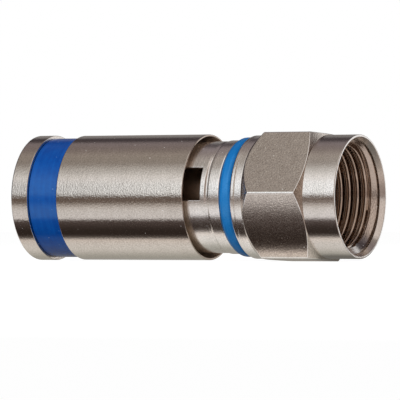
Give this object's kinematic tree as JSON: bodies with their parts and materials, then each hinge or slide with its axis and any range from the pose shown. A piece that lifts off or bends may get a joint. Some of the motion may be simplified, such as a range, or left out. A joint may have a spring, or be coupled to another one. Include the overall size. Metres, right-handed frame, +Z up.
{
  "type": "f connector",
  "caption": "Coaxial cable connector with a spinning hexagon coupling nut, a seal ring, a windowed body and a compression sleeve that slides home over it.",
  "frame": {"origin": "on the connector's axis at the seating plane, the front face of the post's flange inside the nut", "axes": "+X along the axis out of the coupling nut towards the port, +Z up, lying on its side as in the picture"},
  "size_m": [0.0318, 0.0126, 0.0114],
  "materials": {
    "nut_nickel": "turned brass, bright nickel plated, fine matt grain on the hexagon's flats",
    "post_nickel": "turned brass, nickel plated",
    "seal_rubber": "blue seal rubber, soft gloss",
    "body_nickel": "turned brass, bright nickel plated",
    "sleeve_nickel": "turned brass, bright nickel plated, fine turning lines",
    "band_plastic": "satin blue plastic",
    "ferrule_plastic": "natural white acetal"
  },
  "bodies": {
    "body": {"connector_body": "body_nickel", "post": "post_nickel", "seal_ring": "seal_rubber"},
    "nut": {"coupling_nut": "nut_nickel"},
    "sleeve": {"compression_sleeve": "sleeve_nickel", "colour_band": "band_plastic", "grip_ferrule": "ferrule_plastic"}
  },
  "joints": [
    {"name": "nut_spin", "type": "hinge", "parent": "body", "child": "nut", "pos_m": [0, 0, 0], "axis": [1, 0, 0], "continuous": true},
    {"name": "sleeve_slide", "type": "slide", "parent": "body", "child": "sleeve", "axis": [1, 0, 0], "range_m": [0, 0.0031]}
  ]
}
